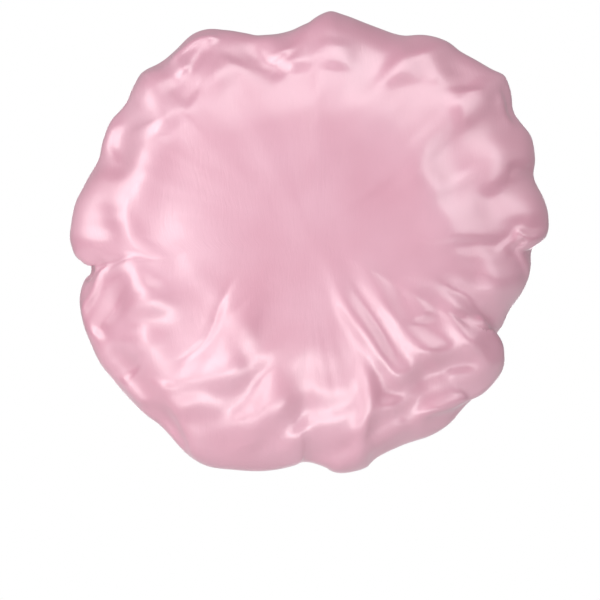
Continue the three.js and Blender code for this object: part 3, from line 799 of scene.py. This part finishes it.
def stitches_piece(name, face, side):
    """A row of lockstitch round the band, each stitch dipping into the cloth at its ends."""
    angle = np.linspace(0, TAU, RUN_PLACES)
    proud = side * STITCH_THICK * STITCH_PROUD
    base = tilted(oval(angle, face(angle, NEEDLE_LEVEL) + proud, NEEDLE_LEVEL))
    run = np.concatenate([[0], np.cumsum(np.linalg.norm(np.diff(base, axis=0), axis=1))])
    count = int(run[-1] / (STITCH_LENGTH + STITCH_GAP))
    pitch = run[-1] / count
    rings, sides = STITCH_RINGS, STITCH_SIDES
    points, faces = [], []
    axis = tilted(np.array([0.0, 0.0, 1.0]))
    for k in range(count):
        at = np.interp((k + np.linspace(*STITCH_SPAN, rings)) * pitch, run, angle)
        dip = np.linspace(-1, 1, rings) ** 4 * STITCH_THICK * STITCH_DIP
        core = face(at, NEEDLE_LEVEL) + side * (STITCH_THICK * STITCH_PROUD - dip)
        centre = tilted(oval(at, core, NEEDLE_LEVEL))
        outward = normalized(tilted(oval(at, 1.0, 0.0)) - tilted(oval(at, 0.0, 0.0)))
        thick = STITCH_THICK / 2 * (1 - STITCH_TAPER * np.linspace(-1, 1, rings) ** 4)
        turn = np.linspace(0, TAU, sides, endpoint=False)
        first = len(points)
        for c, o, r in zip(centre, outward, thick):
            for t in turn:
                points.append(c + r * (math.cos(t) * o + math.sin(t) * axis))
        for i in range(rings - 1):
            for j in range(sides):
                a, b = first + i * sides + j, first + i * sides + (j + 1) % sides
                faces.append((a, b, b + sides, a + sides))
        faces.append(tuple(first + j for j in range(sides))[::-1])
        faces.append(tuple(first + (rings - 1) * sides + j for j in range(sides)))
    return mesh_object(name, points, faces)


# Materials

# The mottle's deep and pale pinks. The pale patches are partly painted sheen: they stand in for the
# patchy highlights that small undulations of satin catch.
SATIN_DEEP, SATIN_PALE_SHEEN = (0.68, 0.262, 0.372, 1), (0.75, 0.345, 0.46, 1)
SATIN_SHADER = {
    "Anisotropic": 0.65,
    "Roughness": 0.42,
    "IOR": 2.0,
    "Specular IOR Level": 1.0,
    "Coat Weight": 0.95,
    "Coat Roughness": 0.28,
    "Sheen Weight": 0.15,
    "Sheen Roughness": 0.4,
    "Sheen Tint": (1, 0.85, 0.9, 1),
}
# How often the noise repeats in a metre, for the tone mottle that is partly painted sheen, the weave's
# floats and the brushed streaks
TONE_AND_SHEEN_SCALE, FIBRE_SCALE = 14, 2500
FLOAT_SCALE, STREAK_SCALE = (1500, 90, 300), (480, 70, 200)
STREAK_DISTORTION = 0.6
# Each bump has its strength, and its depth in metres.
BRUSHED_BUMP, FLOAT_BUMP, FIBRE_BUMP = (0.5, 0.00022), (0.3, 0.0002), (0.4, 0.0002)
FIBRE_SHADE = 0.85
THREAD_COLOR, ELASTIC_COLOR = (0.78, 0.44, 0.54), (0.86, 0.84, 0.82)


def link(tree, a, b):
    tree.links.new(a, b)


def new_material(name):
    material = bpy.data.materials.new(name)
    material.use_nodes = True
    tree = material.node_tree
    return material, tree, tree.nodes["Principled BSDF"]


def noise_node(tree, vector, scale, detail=2):
    made = tree.nodes.new("ShaderNodeTexNoise")
    made.inputs["Scale"].default_value = scale
    made.inputs["Detail"].default_value = detail
    link(tree, vector, made.inputs["Vector"])
    return made


def stretched(tree, vector, scale):
    made = tree.nodes.new("ShaderNodeMapping")
    made.inputs["Scale"].default_value = scale
    link(tree, vector, made.inputs["Vector"])
    return made.outputs["Vector"]


def tone(tree, factor, deep, pale, ends=(0, 1)):
    """A colour that runs from deep to pale while the factor runs between the two ends."""
    made = tree.nodes.new("ShaderNodeValToRGB")
    for element, position, color in zip(made.color_ramp.elements, ends, (deep, pale)):
        element.position = position
        element.color = color
    link(tree, factor, made.inputs["Fac"])
    return made.outputs["Color"]


def bump(tree, height, sizes, under=None):
    made = tree.nodes.new("ShaderNodeBump")
    made.inputs["Strength"].default_value, made.inputs["Distance"].default_value = sizes
    link(tree, height, made.inputs["Height"])
    if under:
        link(tree, under, made.inputs["Normal"])
    return made.outputs["Normal"]


def satin(name):
    """Pink satin mottled deep and pale, partly as a random tone and partly as painted sheen, with
    brushed streaks and threads along one way of the cloth.
    """
    material, tree, shader = new_material(name)
    nodes = tree.nodes
    coordinates = nodes.new("ShaderNodeTexCoord").outputs
    # Painted sheen in part: the mottle's pale patches stand in for the satin's patchy highlights.
    tone_and_sheen_mottle = noise_node(tree, coordinates["Object"], TONE_AND_SHEEN_SCALE)
    pink = tone(tree, tone_and_sheen_mottle.outputs["Fac"], SATIN_DEEP, SATIN_PALE_SHEEN, ends=(0.3, 0.7))
    link(tree, pink, shader.inputs["Base Color"])
    floats = noise_node(tree, stretched(tree, coordinates["UV"], FLOAT_SCALE), 1, detail=3)
    streaks = noise_node(tree, stretched(tree, coordinates["UV"], STREAK_SCALE), 1)
    streaks.inputs["Distortion"].default_value = STREAK_DISTORTION
    brushed = bump(tree, streaks.outputs["Fac"], BRUSHED_BUMP)
    woven = bump(tree, floats.outputs["Fac"], FLOAT_BUMP, under=brushed)
    link(tree, woven, shader.inputs["Normal"])
    tangent = nodes.new("ShaderNodeTangent")
    tangent.direction_type = "UV_MAP"
    tangent.uv_map = CLOTH_UV
    link(tree, tangent.outputs["Tangent"], shader.inputs["Tangent"])
    for socket, value in SATIN_SHADER.items():
        shader.inputs[socket].default_value = value
    return material


def plain_thread(name, color, roughness=0.7):
    material, tree, shader = new_material(name)
    coordinates = tree.nodes.new("ShaderNodeTexCoord").outputs
    fibre = noise_node(tree, coordinates["Object"], FIBRE_SCALE).outputs["Fac"]
    shade = (*[c * FIBRE_SHADE for c in color], 1)
    link(tree, tone(tree, fibre, shade, (*color, 1)), shader.inputs["Base Color"])
    link(tree, bump(tree, fibre, FIBRE_BUMP), shader.inputs["Normal"])
    shader.inputs["Roughness"].default_value = roughness
    return material


# The studio

LIGHT_AIM = (0, -0.05, 0.08)
# Each softbox has its name, place, size and power in watts.
LIGHTS = [
    ("key", (-1.7, -2.0, 1.0), (0.5, 1.8), 17.5),
    ("left", (-2.0, -0.7, 1.5), (1.6, 1.6), 19),
    ("front", (0.3, -3.3, 0.9), (1.4, 1.4), 2),
    ("top", (0.3, -0.8, 2.4), (2.2, 1.2), 15),
    ("right", (1.7, -1.2, 1.5), (0.9, 1.8), 12),
    ("low", (0.1, -1.9, -0.38), (2.0, 0.3), 8.5),
    ("under", (-0.5, -1.1, -0.4), (2.4, 1.3), 8),
    ("back", (0, 2.3, 0.05), (1.4, 1.0), 18),
]


def area_light(name, place, size, power):
    data = bpy.data.lights.new(name, "AREA")
    data.shape = "RECTANGLE"
    data.size, data.size_y = size
    data.energy = power
    lamp = bpy.data.objects.new(name, data)
    lamp.location = place
    lamp.rotation_euler = (Vector(LIGHT_AIM) - Vector(place)).to_track_quat("-Z", "Y").to_euler()
    bpy.context.scene.collection.objects.link(lamp)


ROOM_LIGHT, ROOM_GLOSS, BACKDROP = 0.23, 0.3, 1.0


def world():
    """An even room: how much it lights, how bright it is in the gloss, and how it is seen."""
    made = bpy.data.worlds.new("studio")
    made.use_nodes = True
    tree = made.node_tree
    nodes = tree.nodes
    path = nodes.new("ShaderNodeLightPath")
    shown = nodes["Background"]
    shown.inputs["Color"].default_value = (1, 1, 1, 1)
    shown.inputs["Strength"].default_value = ROOM_LIGHT
    for strength, ray in ((ROOM_GLOSS, "Is Glossy Ray"), (BACKDROP, "Is Camera Ray")):
        other = nodes.new("ShaderNodeBackground")
        other.inputs["Color"].default_value = (1, 1, 1, 1)
        other.inputs["Strength"].default_value = strength
        mix = nodes.new("ShaderNodeMixShader")
        link(tree, path.outputs[ray], mix.inputs["Fac"])
        link(tree, shown.outputs[0], mix.inputs[1])
        link(tree, other.outputs[0], mix.inputs[2])
        shown = mix
    link(tree, shown.outputs[0], nodes["World Output"].inputs["Surface"])
    bpy.context.scene.world = made


FLOOR_LEVEL, FLOOR_SIZE = -0.42, 3.9


def floor():
    bpy.ops.mesh.primitive_plane_add(size=FLOOR_SIZE, location=(0, 0, FLOOR_LEVEL))
    made = bpy.context.object
    made.name = "floor"
    material, tree, shader = new_material("floor_white")
    shader.inputs["Base Color"].default_value = (0.9, 0.9, 0.9, 1)
    shader.inputs["Roughness"].default_value = 0.9
    made.data.materials.append(material)


def camera():
    data = bpy.data.cameras.new("camera")
    data.sensor_width = SENSOR_WIDTH
    data.lens = SENSOR_WIDTH * CAMERA_DISTANCE / PHOTO_WIDTH
    made = bpy.data.objects.new("camera", data)
    made.location = (PHOTO_MIDDLE[0], RIM_MIDDLE[1] - CAMERA_DISTANCE, PHOTO_MIDDLE[1])
    made.rotation_euler = (math.pi / 2, 0, 0)
    bpy.context.scene.collection.objects.link(made)
    bpy.context.scene.camera = made


def thicken(piece, thickness):
    """Gives the cloth its two faces, the second one inside the first."""
    solid = piece.modifiers.new("cloth", "SOLIDIFY")
    solid.thickness = thickness
    solid.offset = -1
    solid.use_even_offset = False


def dress(piece, material, slot, *nodes):
    piece.data.materials.append(material)
    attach(piece, "root")
    if nodes:
        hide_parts(*nodes)


camera()
world()
floor()
for light in LIGHTS:
    area_light(*light)

crown_satin = crown_piece()
thicken(crown_satin, SHEET_THICKNESS)
satin_cloth = satin("satin_cloth")
dress(crown_satin, satin_cloth, "satin", "crown_outer")
lining = lining_piece()
thicken(lining, SHEET_THICKNESS)
dress(lining, satin_cloth, "satin", "crown_lining")
casing = casing_piece()
thicken(casing, PLY)
dress(casing, satin("satin_band"), "satin", "band_casing")
elastic = elastic_piece()
dress(elastic, plain_thread("elastic_knit", ELASTIC_COLOR), "elastic", "elastic_band")
thread = plain_thread("thread_pink", THREAD_COLOR)
dress(stitches_piece("needle_stitches", outer_face, 1), thread, "thread", "seam_needle_thread")
dress(stitches_piece("bobbin_stitches", inner_face, -1), thread, "thread", "seam_bobbin_thread")
for node in ("elastic_lap_thread", "gathering_thread", "overlock_thread"):
    kept = frame["nodes"][node]
    kept.data.materials.clear()
    kept.data.materials.append(thread)

bpy.context.scene.view_settings.view_transform = "Standard"
